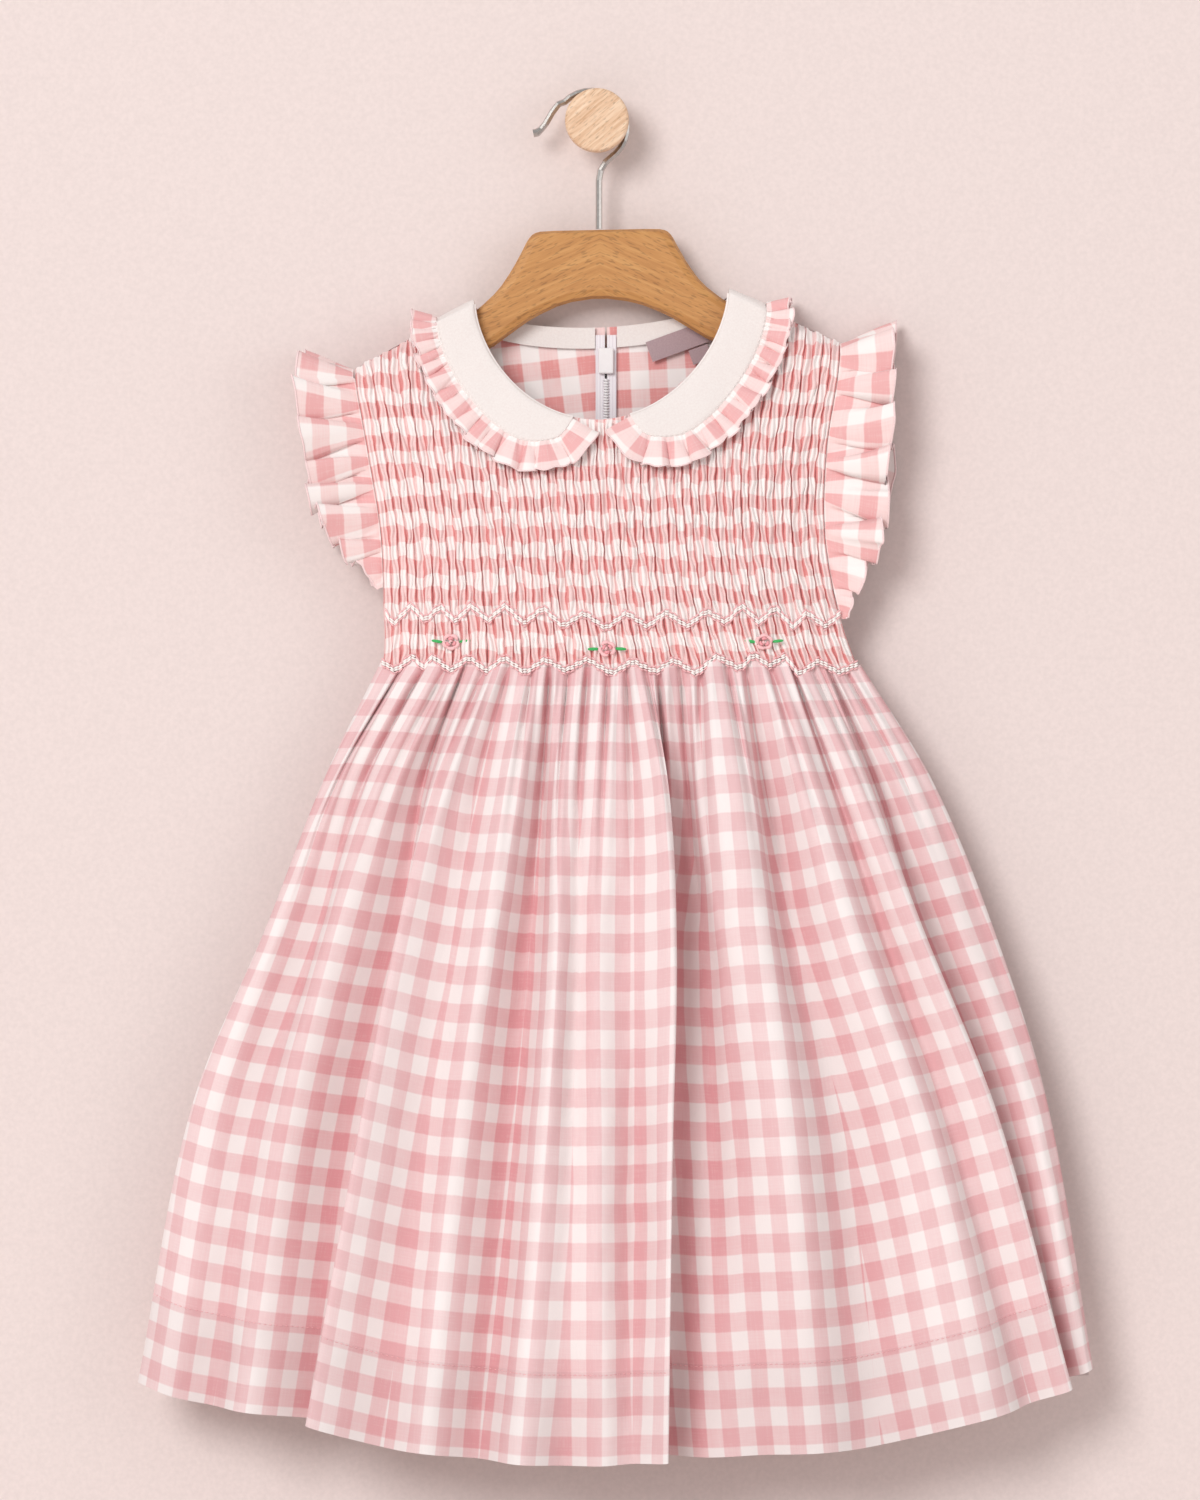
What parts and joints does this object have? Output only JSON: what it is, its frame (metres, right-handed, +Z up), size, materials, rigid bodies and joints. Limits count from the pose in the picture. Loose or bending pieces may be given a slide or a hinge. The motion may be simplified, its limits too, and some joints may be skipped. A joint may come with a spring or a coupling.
{
  "type": "smocked dress on a hanger and wall knob",
  "caption": "Sleeveless child's dress in pink gingham, hung flat: smocked bodice, round collar with ruffles, gathered skirt, zip up the back, on a wooden hanger and wall knob.",
  "frame": {"origin": "middle of the wall knob's flat back face, on the wall plane", "axes": "+Z up, -Y out of the wall towards the viewer, +X to the viewer's right"},
  "size_m": [0.4775, 0.0992, 0.6876],
  "materials": {
    "gingham": "matt woven pink and white gingham cotton",
    "white_cotton": "matt plain white cotton",
    "zip": "white knitted polyester tape",
    "zip_metal": "white enamel on zinc",
    "label": "woven satin-edged mauve label, bare",
    "beech": "oiled and lacquered beech, satin",
    "steel": "bright drawn wire",
    "maple": "turned pale wood, matt"
  },
  "bodies": {
    "dress": {"front_smocked": "gingham", "front_skirt": "gingham", "back_left": "gingham", "back_right": "gingham", "back_skirt": "gingham", "collar_left": "white_cotton", "collar_right": "white_cotton", "collar_ruffle_left": "gingham", "collar_ruffle_right": "gingham", "armhole_ruffle_left": "gingham", "armhole_ruffle_right": "gingham", "neck_binding_left": "white_cotton", "neck_binding_right": "white_cotton", "zip_tape_left": "zip", "zip_tape_right": "zip", "zip_slider": "zip_metal", "neck_label": "label", "size_tab": "label", "hanger": "beech", "hook": "steel", "wall_knob": "maple"},
    "zip_pull": {"zip_pull": "zip_metal"}
  },
  "joints": [
    {"name": "zip_pull_hinge", "type": "hinge", "parent": "dress", "child": "zip_pull", "pos_m": [0.0045, -0.0036, -0.117], "axis": [1, 0, 0], "range_deg": [0, 160]}
  ]
}
